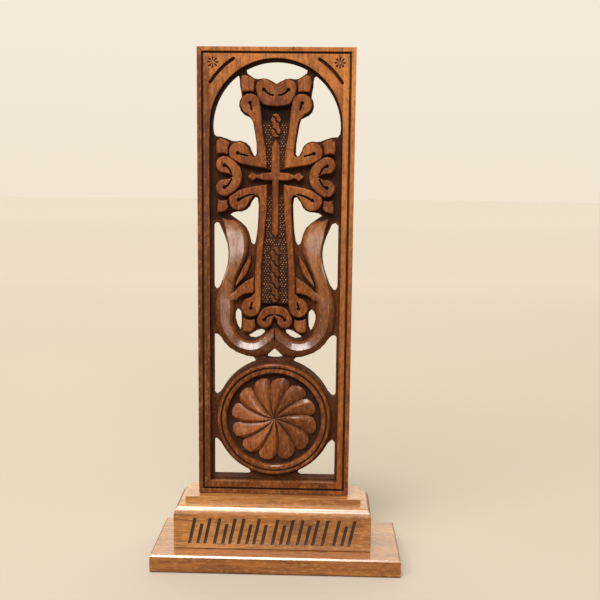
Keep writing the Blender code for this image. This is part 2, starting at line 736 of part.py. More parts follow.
def slanted_stroke(bm, x, low, high):
    """One shallow cut in the block's front, leaning to the right."""
    front = -BLOCK_D / 2
    lean = STROKE_LEAN * (high - low) / 2
    half = STROKE_W / 2
    corners = ((x - lean - half, low), (x - lean + half, low),
               (x + lean + half, high), (x + lean - half, high))
    outer = [bm.verts.new((cx, front - STROKE_DEEP, cz)) for cx, cz in corners]
    inner = [bm.verts.new((cx, front + STROKE_DEEP, cz)) for cx, cz in corners]
    bm.faces.new(outer)
    bm.faces.new(list(reversed(inner)))
    for i in range(4):
        j = (i + 1) % 4
        bm.faces.new((outer[i], inner[i], inner[j], outer[j]))


def build_block():
    w, d = BLOCK_W / 2, BLOCK_D / 2
    shoulder = BLOCK_FOOT + BLOCK_FACE_H
    levels = [(w, d, BLOCK_FOOT)]
    for i in range(BLOCK_ROUND_STEPS + 1):
        a = math.pi / 2 * i / BLOCK_ROUND_STEPS
        off = BLOCK_ROUND_IN * (1 - math.cos(a))
        levels.append((w - off, d - off, shoulder + BLOCK_ROUND_UP * math.sin(a)))
    step = BLOCK_ROUND_IN + BLOCK_LEDGE
    levels.append((w - step, d - step, shoulder + BLOCK_ROUND_UP))
    levels.append((w - step, d - step, BLOCK_TOP))
    obj = stepped("base_block", levels)
    bm = bmesh.new()
    low = BLOCK_FOOT + STROKE_FROM_FOOT
    high = shoulder - STROKE_FROM_SHOULDER
    for left, right in STROKE_GROUPS:
        middle = 0.5 * (left + right) * BLOCK_W
        count = 1 + int(round(((right - left) * BLOCK_W - STROKE_W) / STROKE_STEP))
        for k in range(count):
            x = middle + (k - (count - 1) / 2) * STROKE_STEP
            slanted_stroke(bm, x, low, high if k % 2 == 0 else high - STROKE_SHORTER)
    combine(obj, finish_mesh(bm, "strokes"), "DIFFERENCE")
    obj.data.transform(Matrix.Translation((BLOCK_ASIDE, 0, 0)))
    wood(obj, "honey_wood", HONEY)


def build_plate():
    w, d, e = PLATE_W / 2, PLATE_D / 2, PLATE_EDGE
    levels = [(w - e, d - e, 0.0), (w, d, e), (w, d, PLATE_H - e), (w - e, d - e, PLATE_H)]
    obj = stepped("base_plate", levels)
    wood(obj, "russet_wood", RUSSET)


clear()
build_plate()
build_block()
build_panel()
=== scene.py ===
# Looks for a carved walnut cross board in souvenir form, on a honey wood block and a russet wood plate.
# Metres, +Z up, the carved face towards -Y.
import math
import random
import bpy
import bmesh
from mathutils import Matrix, Vector


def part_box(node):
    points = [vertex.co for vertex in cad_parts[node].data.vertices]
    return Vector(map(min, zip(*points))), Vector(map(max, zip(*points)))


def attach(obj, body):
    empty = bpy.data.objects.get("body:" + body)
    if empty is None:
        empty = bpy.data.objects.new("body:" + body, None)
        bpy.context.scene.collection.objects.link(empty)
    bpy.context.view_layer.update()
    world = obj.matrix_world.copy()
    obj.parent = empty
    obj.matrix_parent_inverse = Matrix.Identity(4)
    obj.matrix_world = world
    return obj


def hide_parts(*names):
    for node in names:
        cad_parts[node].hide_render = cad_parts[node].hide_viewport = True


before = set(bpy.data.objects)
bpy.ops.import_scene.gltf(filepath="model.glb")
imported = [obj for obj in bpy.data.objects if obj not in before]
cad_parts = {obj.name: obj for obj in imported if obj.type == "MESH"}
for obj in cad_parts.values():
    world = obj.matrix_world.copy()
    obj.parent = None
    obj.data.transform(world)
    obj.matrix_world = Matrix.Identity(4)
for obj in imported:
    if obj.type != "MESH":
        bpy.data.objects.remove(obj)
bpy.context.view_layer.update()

MM = 0.001

# The camera, from the photograph's perspective
EYE = (17.1 * MM, -330.4 * MM, 151.9 * MM)
TURN = 0.02704
TILT = -0.1415
ROLL = -0.01116
LENS = 51.32

# The lamps aim at this place, near the middle of the part
AIM = (0.0, 0.0, 90.0 * MM)

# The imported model's own places
BOARD_LOW, BOARD_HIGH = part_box("khachkar_panel")
BOARD_MIDDLE = (BOARD_LOW[0] + BOARD_HIGH[0]) / 2
BOARD_FACE = BOARD_LOW[1]
BOARD_FOOT = BOARD_LOW[2]
BLOCK_LOW, BLOCK_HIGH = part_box("base_block")
BLOCK_FACE = BLOCK_LOW[1]

# From here to the rosette: millimetres on the board, as heights above its foot, distances from its upright
# middle line, or depths under its face. A name that ends in WALL holds the depths between which the stain and
# painted shade set in.

# The border groove; the rails, past which the frame is lighter on the right and darker on the left; and the
# heights over which it is painted lighter towards the top and darker towards the foot, as painted light and
# shade from above
GROOVE_OUT = 26.4
GROOVE_TOP = 169.6
GROOVE_FOOT = 3.2
GROOVE_WALL = (0.2, 0.6)
RAIL_EDGE = (24.6, 25.4)
UPPER_PAINTED_LIGHT = (138.0, 168.0)
LOWER_PAINTED_SHADE = (120.0, 50.0)

# The cross: its sunk ground, the ground that has no punch marks, the lower twisted bar, its crown and its foot
UPPER_CARVING = 108.5
CARVING_WALL = (0.4, 1.1)
THROUGH_WALL = (2.15, 2.6)
PUNCHED_DEEP = 1.2
CROSS_HALF = 5.7
CROSS_SPAN = (76.3, 152.0)
SMOOTH_TOP = 145.4
SMOOTH_ARMS_OUT = 8.0
SMOOTH_ARMS_UP = 104.0
TWIST_HALF = 3.4
TWIST_SPAN = (76.3, 98.8)
FOOT_CURLS_OUT = 12.6
FOOT_CURLS_SPAN = (66.8, 80.0)
CROWN_SIDE = (17.0, 13.0)
CROWN_FOOT = (138.0, 154.0)
CROWN_TOP = (168.0, 163.0)

# Punched ground: strips (inner side, outer side at the low end and at the high end, low, high)
PUNCHED_STRIPS = ((2.0, 2.9, 3.4, 129.2, 136.5), (2.0, 3.4, 4.6, 136.5, 145.8), (1.8, 3.7, 2.8, 102.6, 118.6),
                  (0.4, 4.1, 3.8, 99.4, 102.4), (2.2, 4.8, 4.2, 77.2, 99.4))
DOT_STEP = 0.98
DOT_ROW = DOT_STEP * 0.87
DOT_R = 0.36
DOT_TIP = 0.45
DOT_TALL = 0.8

# Where each short lower leaf runs into the large one: corners (across, up, deep)
JOIN_LOW_INNER = (14.7, 78.2, 0.06)
JOIN_LOW_OUTER = (17.6, 75.9, 1.4)
JOIN_HIGH_INNER = (14.8, 81.3, 0.06)
JOIN_HIGH_OUTER = (17.6, 80.1, 1.4)
JOIN_DROP_LOW = 1.1
JOIN_DROP_HIGH = 0.9
JOIN_DROP_REACH = 0.3
JOIN_ROOT = 2.7

# The large leaves: the stretch of height, and their inner line as (share of that stretch, share of LEAF_OUT)
LEAF_SPAN = (50.0, 110.0)
LEAF_OUT = 20.0
LEAF_INNER_LINE = ((0.0, 0.0), (0.24, 0.0), (0.26, 0.4), (0.45, 0.4), (0.48, 0.8), (0.82, 0.5), (0.95, 0.6))
LEAF_RAIL = (25.0, 24.0)
LEAF_UNDERCUT = (2.0, 1.4)
# The oval hollow inside each half of the heart: middle out and up, half its width and half its height
HOLLOW_OUT = 9.2
HOLLOW_UP = 70.6
HOLLOW_HALF_WIDE = 7.5
HOLLOW_HALF_TALL = 9.3

# The rosette
ROSETTE_UP = 30.3
ROSETTE_RIM = 18.7
BOWL_WALL = (2.25, 2.6)

# Wood colours: grain as stops from dark to pale, and the plain colours that are mixed in
WALNUT_GRAIN = ((0.3, (0.075, 0.017, 0.003)), (0.44, (0.17, 0.042, 0.006)),
                (0.56, (0.275, 0.078, 0.012)), (0.72, (0.42, 0.145, 0.028)))
# The frame painted paler and darker: paler at the top and right, darker at the foot, the left rail and the
# crown; the top and foot as painted light and shade from above
PALE_FRAME = (0.7, 0.25, 0.045)
DARK_FRAME = (0.07, 0.017, 0.003)
# The rosette's petals, painted lit on the left and shaded on the right
PETALS_LIT_TO_SHADED = ((0.35, (0.52, 0.16, 0.04)), (0.6, (0.15, 0.06, 0.026)))
LEAVES = ((0.3, (0.1, 0.045, 0.027)), (0.62, (0.42, 0.19, 0.075)))
DARK_BLOTCH = (0.11, 0.026, 0.008)
PALE_BLOTCH = (0.5, 0.18, 0.05)
DARK_SPECKLE = (0.06, 0.014, 0.004)
PALE_SPECKLE = (0.6, 0.22, 0.06)
WALNUT_PORES = (0.045, 0.012, 0.004)
# Paler outer edges: partly wear, partly a painted highlight along them
WALNUT_WORN_AND_LIT = (0.6, 0.28, 0.11)
# Dark stain, also used as painted shade in the recesses and hollows
WALNUT_STAIN_AND_SHADE = (0.019, 0.009, 0.006)
# The punched tips, rubbed pale and painted paler as a highlight
DOT_TIPS_WORN_AND_LIT = ((0.4, (0.1, 0.035, 0.014)), (0.6, (0.5, 0.27, 0.14)))
HONEY_GRAIN = ((0.3, (0.17, 0.055, 0.01)), (0.44, (0.34, 0.122, 0.022)),
               (0.56, (0.45, 0.175, 0.033)), (0.72, (0.54, 0.25, 0.06)))
HONEY_FLECK = (0.14, 0.045, 0.009)
RUSSET_GRAIN = ((0.3, (0.12, 0.034, 0.006)), (0.44, (0.25, 0.078, 0.014)),
                (0.56, (0.37, 0.13, 0.024)), (0.72, (0.48, 0.21, 0.05)))
RUSSET_FLECK = (0.12, 0.036, 0.007)
BASE_PALE_SPECKLE = (0.72, 0.42, 0.15)
# Paler outer edges: partly wear, partly a painted highlight along them
BASE_WORN_AND_LIT = (0.78, 0.56, 0.3)
# Dark in the base's grooves and corners: stain and painted shade
BASE_STAIN_AND_SHADE = (0.06, 0.025, 0.012)
CUT_STAIN = (0.035, 0.014, 0.008)
# The floor as the camera sees it, from FLOOR_NEAR to FLOOR_FAR, and as the light meets it
FLOOR_NEAR, FLOOR_FAR = -3.0, 3.0
FLOOR_SHOWN = ((0.0, (0.66, 0.62, 0.56)), (0.3, (0.48, 0.44, 0.38)), (0.41, (0.3, 0.27, 0.23)),
               (0.47, (0.44, 0.395, 0.335)), (0.51, (0.475, 0.42, 0.355)), (0.55, (0.54, 0.485, 0.415)),
               (0.66, (0.675, 0.62, 0.555)), (1.0, (0.725, 0.68, 0.622)))
FLOOR_FOR_LIGHT = (0.13, 0.085, 0.06)


def up(tall):
    """The Z of a height above the board's foot."""
    return BOARD_FOOT + tall * MM


def under(deep):
    """The Y of a depth under the board's face."""
    return BOARD_FACE + deep * MM


# Materials

class Paint:
    """A wood finish, built up from patterns that follow the place on the piece."""

    def __init__(self, name):
        self.material = bpy.data.materials.new(name)
        self.material.use_nodes = True
        self.nodes = self.material.node_tree.nodes
        self.links = self.material.node_tree.links
        self.shader = self.nodes["Principled BSDF"]
        self.place = self.nodes.new("ShaderNodeTexCoord").outputs["Object"]

    def feed(self, value, socket):
        """Joins a pattern to a socket, or sets a plain number or colour on it."""
        if hasattr(value, "is_linked"):
            self.links.new(value, socket)
        elif isinstance(value, tuple):
            socket.default_value = (*value, 1.0)
        else:
            socket.default_value = value

    def put(self, kind, sockets=None, **settings):
        """A new node with its settings, and with its sockets fed."""
        node = self.nodes.new(kind)
        for key, value in settings.items():
            setattr(node, key, value)
        for key, value in (sockets or {}).items():
            self.feed(value, node.inputs[key])
        return node

    def finish(self, sockets):
        """Feeds the shader's own sockets."""
        for key, value in sockets.items():
            self.feed(value, self.shader.inputs[key])

    def axes(self):
        """How far right, back and up the place is."""
        node = self.put("ShaderNodeSeparateXYZ", {0: self.place})
        return node.outputs["X"], node.outputs["Y"], node.outputs["Z"]

    def stretched(self, scale, shift=(0.0, 0.0, 0.0)):
        """The place, with the pattern on it drawn out where the scale is small."""
        node = self.put("ShaderNodeMapping", {"Vector": self.place})
        node.inputs["Scale"].default_value = scale
        node.inputs["Location"].default_value = shift
        return node.outputs["Vector"]

    def noise(self, place, scale, detail=3.0, rough=0.5, bend=0.0):
        """An uneven pattern from 0 to 1."""
        node = self.put("ShaderNodeTexNoise", {"Vector": place, "Scale": scale, "Detail": detail,
                                               "Roughness": rough, "Distortion": bend})
        return node.outputs["Fac"]

    def ramp(self, value, stops):
        """The colour or number that the stops give for a value."""
        node = self.put("ShaderNodeValToRGB", {"Fac": value})
        elements = node.color_ramp.elements
        while len(elements) < len(stops):
            elements.new(0.5)
        for element, (at, colour) in zip(elements, stops):
            element.position = at
            element.color = (*colour, 1.0) if isinstance(colour, tuple) else (colour, colour, colour, 1.0)
        return node.outputs["Color"]

    def mixed(self, share, first, second):
        """The first colour or number, with a share of the second."""
        node = self.put("ShaderNodeMix", {0: share, 6: first, 7: second}, data_type="RGBA")
        return node.outputs[2]

    def tinted(self, colour, pattern, none_at, full_at, share, other):
        """The colour with another mixed in: none where the pattern is none_at, a share where it is full_at."""
        return self.mixed(self.ramp(pattern, sorted(((none_at, 0.0), (full_at, share)))), colour, other)

    def maths(self, operation, first, second=0.0):
        """One sum or comparison of two values."""
        return self.put("ShaderNodeMath", {0: first, 1: second}, operation=operation).outputs[0]

    def times(self, first, *others):
        """All the values multiplied."""
        for other in others:
            first = self.maths("MULTIPLY", first, other)
        return first

    def most(self, first, *others):
        """The greatest of the values."""
        for other in others:
            first = self.maths("MAXIMUM", first, other)
        return first

    def over(self, value, limit):
        """1 where the value is greater than the limit."""
        return self.maths("GREATER_THAN", value, limit)

    def below(self, value, limit):
        """1 where the value is less than the limit."""
        return self.maths("LESS_THAN", value, limit)

    def within(self, value, low, high):
        """1 where the value lies between low and high."""
        return self.times(self.over(value, low), self.below(value, high))

    def share(self, value, none_at, full_at, kind="LINEAR"):
        """0 where the value is none_at, 1 where it is full_at, and between them in between."""
        node = self.put("ShaderNodeMapRange", {"Value": value, "From Min": none_at, "From Max": full_at},
                        interpolation_type=kind)
        return node.outputs[0]

    def rising(self, value, none_at, full_at):
        """As share, with soft ends."""
        return self.share(value, none_at, full_at, "SMOOTHSTEP")

    def from_middle(self, x):
        """How far the place is from the board's upright middle line."""
        return self.maths("ABSOLUTE", self.maths("SUBTRACT", x, BOARD_MIDDLE))

    def closeness(self, reach, low, high, inside):
        """1 where other faces of the piece are near, looking outward or into the wood."""
        node = self.put("ShaderNodeAmbientOcclusion", {"Distance": reach}, samples=12, only_local=True,
                        inside=inside)
        return self.ramp(node.outputs["AO"], ((low, 1.0), (high, 0.0)))

    def hollows(self, reach, low, high):
        """1 in grooves and corners narrower than reach, 0 on open faces."""
        return self.closeness(reach, low, high, False)

    def edges(self):
        """1 along outer edges."""
        return self.closeness(0.5 * MM, 0.25, 0.7, True)

    def relief(self, height, depth, rounding):
        """A fine uneven surface, and softly rounded edges."""
        soft = self.put("ShaderNodeBevel", {"Radius": rounding}, samples=6)
        bump = self.put("ShaderNodeBump", {"Distance": depth, "Normal": soft.outputs["Normal"],
                                           "Height": height})
        self.finish({"Normal": bump.outputs["Normal"]})


def in_rosette(paint):
    """1 inside the rosette's ring."""
    x, _, z = paint.axes()
    flat = paint.put("ShaderNodeCombineXYZ", {"X": x, "Z": z})
    from_centre = paint.put("ShaderNodeVectorMath", {0: flat.outputs[0]}, operation="DISTANCE")
    from_centre.inputs[1].default_value = (BOARD_MIDDLE, 0.0, up(ROSETTE_UP))
    return paint.below(from_centre.outputs["Value"], (ROSETTE_RIM - 0.05) * MM)


def across_rosette(paint):
    """0 at the rosette's left edge, 1 at its right edge."""
    x, _, _ = paint.axes()
    return paint.share(x, BOARD_MIDDLE - ROSETTE_RIM * MM, BOARD_MIDDLE + ROSETTE_RIM * MM)


def recess_stain_and_shade(paint):
    """Dark stain rubbed into the carving, with painted shade in its recesses: 0 on the board's face and its
    outer sides, most in the recesses.
    """
    x, y, z = paint.axes()
    from_middle = paint.from_middle(x)
    wall = paint.rising(y, *map(under, CARVING_WALL))

    carving = paint.times(wall, paint.over(z, up(UPPER_CARVING)))
    openings = paint.times(paint.rising(y, *map(under, THROUGH_WALL)), 0.72)
    sunk = paint.times(paint.below(from_middle, CROSS_HALF * MM), paint.within(z, *map(up, CROSS_SPAN)),
                       paint.rising(y, under(PUNCHED_DEEP - 0.14), under(PUNCHED_DEEP - 0.04)))
    bowl = paint.times(in_rosette(paint), paint.rising(y, *map(under, BOWL_WALL)))
    border = paint.most(paint.over(from_middle, GROOVE_OUT * MM), paint.over(z, up(GROOVE_TOP)),
                        paint.below(z, up(GROOVE_FOOT)))
    border = paint.times(border, paint.rising(y, *map(under, GROOVE_WALL)))
    foot_curls = paint.times(paint.below(from_middle, FOOT_CURLS_OUT * MM),
                             paint.within(z, *map(up, FOOT_CURLS_SPAN)), wall)
    stain_and_shade = paint.most(carving, openings, sunk, bowl, border, foot_curls)

    # Painted shadow on the unpunched ground under the crown, and more darkening on that ground beside the side
    # arms
    smooth = paint.most(paint.over(z, up(SMOOTH_TOP)), paint.over(from_middle, SMOOTH_ARMS_OUT * MM))
    smooth = paint.times(smooth, paint.over(z, up(SMOOTH_ARMS_UP)), sunk)
    stain_and_shade = paint.maths("ADD", stain_and_shade, paint.times(smooth, 0.15))

    twist = paint.times(paint.below(from_middle, TWIST_HALF * MM), paint.within(z, *map(up, TWIST_SPAN)))
    stain_and_shade = paint.most(stain_and_shade, paint.times(twist, 0.5))

    inside = paint.times(paint.within(x, BOARD_LOW[0] + 0.2 * MM, BOARD_HIGH[0] - 0.2 * MM),
                         paint.within(z, BOARD_LOW[2] + 0.2 * MM, BOARD_HIGH[2] - 0.2 * MM),
                         paint.below(y, BOARD_HIGH[1] - 0.02 * MM))
    return paint.times(stain_and_shade, inside)


def frame_tone(paint):
    """How light the frame is painted, where 0.5 is the plain tone.

    It is painted lighter at the top and darker at the foot, as painted light and shade from above; it is also
    lighter at the right, and darker down the left rail and on the crown of the cross.
    """
    x, _, z = paint.axes()
    left = paint.times(paint.rising(x, *(BOARD_MIDDLE - edge * MM for edge in RAIL_EDGE)),
                       paint.rising(z, BOARD_HIGH[2] - 1.0 * MM, BOARD_HIGH[2] - 5.0 * MM))
    right = paint.rising(x, *(BOARD_MIDDLE + edge * MM for edge in RAIL_EDGE))
    top = paint.rising(z, *map(up, UPPER_PAINTED_LIGHT))
    low = paint.rising(z, *map(up, LOWER_PAINTED_SHADE))
    crown = paint.times(paint.rising(paint.from_middle(x), *(side * MM for side in CROWN_SIDE)),
                        paint.rising(z, *map(up, CROWN_FOOT)), paint.rising(z, *map(up, CROWN_TOP)))
    tone = 0.5
    for part, change in ((right, 0.16), (left, -0.14), (top, 0.17), (low, -0.16),
                         (paint.times(low, left), -0.14), (crown, -0.21)):
        tone = paint.maths("ADD", tone, paint.times(part, change))
    return tone


def polished_leaves(paint):
    """1 on the two large leaves and the heart that they end in, 0 elsewhere; and how high up they are."""
    x, y, z = paint.axes()
    from_middle = paint.from_middle(x)
    height = paint.share(z, *map(up, LEAF_SPAN))
    inner_line = paint.times(paint.ramp(height, LEAF_INNER_LINE), LEAF_OUT * MM)
    beside = paint.rising(paint.maths("SUBTRACT", from_middle, inner_line), -0.8 * MM, 0.2 * MM)

    out = paint.maths("SUBTRACT", from_middle, HOLLOW_OUT * MM)
    tall = paint.maths("SUBTRACT", z, up(HOLLOW_UP))
    flat = paint.put("ShaderNodeCombineXYZ", {"X": paint.times(out, 1.0 / (HOLLOW_HALF_WIDE * MM)),
                                              "Y": paint.times(tall, 1.0 / (HOLLOW_HALF_TALL * MM))})
    from_hollow = paint.put("ShaderNodeVectorMath", {0: flat.outputs[0]}, operation="LENGTH")
    around_hollow = paint.rising(from_hollow.outputs["Value"], 0.93, 1.0)

    ends = paint.times(paint.rising(height, 0.05, 0.08), paint.rising(height, 1.0, 0.93))
    near_face = paint.rising(y, *map(under, LEAF_UNDERCUT))
    before_rail = paint.rising(from_middle, *(edge * MM for edge in LEAF_RAIL))
    return paint.times(beside, around_hollow, ends, near_face, before_rail), height


def varnished_walnut():
    """Reddish brown walnut with upright grain, dark stain and painted shade in its recesses, painted light and
    shade on the frame and the rosette's petals, paler edges that are partly worn and partly a painted
    highlight, and polish on its large leaves.
    """
    paint = Paint("varnished_walnut")
    streaks = paint.noise(paint.stretched((1.0, 1.0, 0.07)), 620.0, 4.0, 0.6, 0.3)
    broad = paint.noise(paint.stretched((1.0, 1.0, 0.22), (0.3, 0.1, 0.7)), 60.0, 3.0, 0.55, 0.4)
    pores = paint.noise(paint.stretched((1.0, 1.0, 0.055), (0.2, 0.5, 0.1)), 2100.0, 2.0, 0.5)
    blotches = paint.noise(paint.stretched((1.0, 1.0, 0.4), (0.7, 0.2, 0.4)), 330.0, 3.0, 0.6, 0.6)
    speckle = paint.noise(paint.stretched((1.0, 1.0, 0.5), (0.1, 0.6, 0.5)), 1100.0, 3.0, 0.65)
    colour = paint.ramp(paint.mixed(0.42, broad, streaks), WALNUT_GRAIN)

    # Painted light and shade on the frame: paler at the top and darker at the foot, as light from above falls;
    # also paler at the right, darker on the left rail and the crown
    tone = frame_tone(paint)
    colour = paint.mixed(paint.times(paint.rising(tone, 0.5, 0.8), 0.7), colour, PALE_FRAME)
    colour = paint.mixed(paint.times(paint.rising(tone, 0.5, 0.25), 0.7), colour, DARK_FRAME)
    # Painted light and shade across the rosette: its petals lit on the left and shaded on the right
    petals_lit_to_shaded = paint.ramp(across_rosette(paint), PETALS_LIT_TO_SHADED)
    colour = paint.mixed(paint.times(in_rosette(paint), 0.32), colour, petals_lit_to_shaded)
    leaves, height = polished_leaves(paint)
    colour = paint.mixed(paint.times(leaves, 0.45), colour, paint.ramp(height, LEAVES))

    colour = paint.tinted(colour, blotches, 0.5, 0.68, 0.5, DARK_BLOTCH)
    colour = paint.tinted(colour, blotches, 0.45, 0.3, 0.28, PALE_BLOTCH)
    colour = paint.tinted(colour, speckle, 0.53, 0.66, 0.45, DARK_SPECKLE)
    colour = paint.tinted(colour, speckle, 0.46, 0.34, 0.3, PALE_SPECKLE)
    colour = paint.tinted(colour, pores, 0.6, 0.7, 0.6, WALNUT_PORES)
    # The outer edges paler: partly wear, partly a painted highlight
    worn_and_lit_edges = paint.edges()
    colour = paint.mixed(paint.times(worn_and_lit_edges, 0.45), colour, WALNUT_WORN_AND_LIT)
    # Dark stain in the carving, with painted shade in hollows and corners where other faces crowd in
    stain_and_shade = paint.most(paint.times(paint.hollows(3.0 * MM, 0.42, 0.92), 0.85),
                       paint.times(recess_stain_and_shade(paint), 0.88))
    colour = paint.mixed(stain_and_shade, colour, WALNUT_STAIN_AND_SHADE)

    varnish = paint.times(paint.maths("ADD", 0.22, paint.times(worn_and_lit_edges, 0.6)),
                          paint.ramp(stain_and_shade, ((0.1, 1.0), (0.5, 0.0))))
    polish = paint.times(paint.ramp(stain_and_shade, ((0.15, 1.0), (0.6, 0.0))),
                         paint.ramp(blotches, ((0.4, 1.0), (0.62, 0.65))))
    paint.finish({"Base Color": colour, "Roughness": paint.ramp(stain_and_shade, ((0.0, 0.45), (0.7, 0.95))),
                  "Specular IOR Level": 0.15, "Coat Weight": paint.mixed(leaves, varnish, polish),
                  "Coat Roughness": 0.2, "Coat IOR": 1.75})
    paint.relief(paint.mixed(0.45, paint.mixed(0.5, streaks, pores), speckle), 0.16 * MM, 0.4 * MM)
    return paint.material


def punched_walnut():
    """The tips between the punch marks: rubbed pale and painted paler as a highlight where they catch the
    light, glossy, some more than others.
    """
    paint = Paint("punched_walnut")
    patches = paint.noise(paint.stretched((1.0, 1.0, 1.0)), 700.0, 2.0, 0.6)
    paint.finish({"Base Color": paint.ramp(patches, DOT_TIPS_WORN_AND_LIT), "Roughness": 0.4, "Coat Weight": 1.0,
                  "Coat Roughness": 0.15})
    return paint.material


def varnished_base_wood(name, grain, fleck, shift, cuts=None):
    """Glossy wood with grain along the base, stain and painted shade in its grooves and corners, and paler
    edges that are partly worn and partly a painted highlight; cuts gives the places that are stained dark.
    """
    paint = Paint(name)
    streaks = paint.noise(paint.stretched((0.06, 1.0, 1.0), shift), 480.0, 4.0, 0.6, 0.5)
    broad = paint.noise(paint.stretched((0.2, 1.0, 1.0), shift), 95.0, 3.0, 0.5, 0.8)
    pores = paint.noise(paint.stretched((0.07, 1.0, 1.0), shift), 1900.0, 2.0, 0.5)
    speckle = paint.noise(paint.stretched((0.4, 1.0, 1.0), shift), 1000.0, 3.0, 0.65)
    colour = paint.ramp(paint.mixed(0.5, broad, streaks), grain)
    colour = paint.tinted(colour, pores, 0.56, 0.66, 0.7, fleck)
    colour = paint.tinted(colour, speckle, 0.53, 0.66, 0.4, fleck)
    colour = paint.tinted(colour, speckle, 0.46, 0.34, 0.3, BASE_PALE_SPECKLE)
    # The outer edges paler: partly wear, partly a painted highlight
    colour = paint.mixed(paint.times(paint.edges(), 0.3), colour, BASE_WORN_AND_LIT)
    # Stain and painted shade in the grooves and corners
    colour = paint.mixed(paint.times(paint.hollows(0.8 * MM, 0.35, 0.8), 0.6), colour, BASE_STAIN_AND_SHADE)
    if cuts:
        colour = paint.mixed(cuts(paint), colour, CUT_STAIN)
    paint.finish({"Base Color": colour, "Roughness": paint.ramp(streaks, ((0.3, 0.4), (0.7, 0.52))),
                  "Coat Weight": 1.0, "Coat Roughness": 0.25, "Coat IOR": 1.8})
    paint.relief(paint.mixed(0.5, streaks, pores), 0.1 * MM, 0.25 * MM)
    return paint.material


def engraved(paint):
    """1 inside the strokes cut in the block's front."""
    x, y, z = paint.axes()
    front = paint.within(y, BLOCK_FACE + 0.1 * MM, BLOCK_FACE + 0.9 * MM)
    upright = paint.within(z, BLOCK_LOW[2] + 1.0 * MM, BLOCK_LOW[2] + 13.0 * MM)
    across = paint.below(paint.from_middle(x), (BLOCK_HIGH[0] - BLOCK_LOW[0]) / 2 - 1.0 * MM)
    return paint.times(front, upright, across)


def pale_floor():
    """Pale where the camera sees it; as dark as a wooden table in the light that it sends back."""
    paint = Paint("pale_floor")
    seen = paint.put("ShaderNodeLightPath").outputs["Is Camera Ray"]
    _, y, _ = paint.axes()
    shown = paint.ramp(paint.share(y, FLOOR_NEAR, FLOOR_FAR), FLOOR_SHOWN)
    paint.finish({"Base Color": paint.mixed(seen, FLOOR_FOR_LIGHT, shown), "Roughness": 0.9,
                  "Specular IOR Level": 0.0})
    return paint.material


# Pieces

def piece(bm, name, material, node=None):
    """The finished mesh as a piece that rides on the base, in place of a node if one is named."""
    mesh = bpy.data.meshes.new(name)
    bm.to_mesh(mesh)
    bm.free()
    mesh.materials.append(material)
    obj = bpy.data.objects.new(name, mesh)
    bpy.context.scene.collection.objects.link(obj)
    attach(obj, "root")
    if node:
        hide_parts(node)
    return obj


def crease(bm, limit_at):
    """Shades the mesh round, but for the edges that are sharper than limit_at gives in degrees."""
    for face in bm.faces:
        face.smooth = True
    for edge in bm.edges:
        edge.smooth = edge.calc_face_angle(0.0) < math.radians(limit_at(edge))


def finished_copy(node, name, material, limit_at):
    """The node's own shape, with its rounded parts shaded round and its edges kept."""
    bm = bmesh.new()
    bm.from_mesh(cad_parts[node].data)
    bmesh.ops.remove_doubles(bm, verts=bm.verts, dist=0.001 * MM)
    crease(bm, limit_at)
    for face in bm.faces:
        face.material_index = 0
    return piece(bm, name, material, node)


def board_crease(edge):
    """Gentler edges are kept as well among the leaves, from the heart up to their tips."""
    return 14 if up(54.5) < edge.verts[0].co.z < up(110.0) else 25


def base_crease(edge):
    """The block and the plate keep one limit all over."""
    return 30


def punched_dots(material):
    """Small raised dots left between the marks of a punch, on the sunk ground beside the cross."""
    rng = random.Random(4)
    bm = bmesh.new()
    turn = Matrix.Rotation(math.pi / 2, 4, "X")
    for inner, outer_low, outer_high, low, high in PUNCHED_STRIPS:
        rows = int((high - low) / DOT_ROW)
        columns = int((max(outer_low, outer_high) - inner) / DOT_STEP) + 1
        for row in range(rows):
            outer = outer_low + (outer_high - outer_low) * row / rows
            for column in range(columns):
                for side in (-1, 1):
                    out = inner + (column + 0.5 * (row % 2)) * DOT_STEP
                    if out > outer:
                        continue
                    out += rng.uniform(-0.12, 0.12)
                    tall = low + (row + rng.uniform(-0.15, 0.15)) * DOT_ROW
                    wide = DOT_R * rng.uniform(0.8, 1.15) * MM
                    put = Matrix.Translation((BOARD_MIDDLE + side * out * MM, under(PUNCHED_DEEP), up(tall)))
                    bmesh.ops.create_cone(bm, cap_ends=True, segments=6, radius1=wide, radius2=wide * DOT_TIP,
                                          depth=DOT_TALL * MM, matrix=put @ turn)
    for face in bm.faces:
        face.smooth = False
    return piece(bm, "punched_dots", material)


def leaf_joins(material):
    """Carved wood that lets each short lower leaf run into the large leaf beside it."""
    bm = bmesh.new()
    for side in (-1, 1):
        made = bmesh.ops.create_grid(bm, x_segments=6, y_segments=8, size=0.5)
        faces = list({face for vert in made["verts"] for face in vert.link_faces})
        for vert in made["verts"]:
            outward = vert.co.x + 0.5
            upward = vert.co.y + 0.5
            low = Vector(JOIN_LOW_INNER).lerp(Vector(JOIN_LOW_OUTER), outward)
            high = Vector(JOIN_HIGH_INNER).lerp(Vector(JOIN_HIGH_OUTER), outward)
            across, tall, deep = low.lerp(high, upward)
            deep += JOIN_DROP_LOW * max(0.0, 1.0 - upward / JOIN_DROP_REACH) ** 2
            deep += JOIN_DROP_HIGH * max(0.0, 1.0 - (1.0 - upward) / JOIN_DROP_REACH) ** 2
            vert.co = (BOARD_MIDDLE + side * across * MM, under(deep), up(tall))
        roots = bmesh.ops.extrude_face_region(bm, geom=faces, use_keep_orig=True)
        for part in roots["geom"]:
            if isinstance(part, bmesh.types.BMVert):
                part.co.y = under(JOIN_ROOT)
    bmesh.ops.recalc_face_normals(bm, faces=bm.faces)
    crease(bm, lambda edge: 40)
    return piece(bm, "leaf_joins", material)


# Stage, camera and light

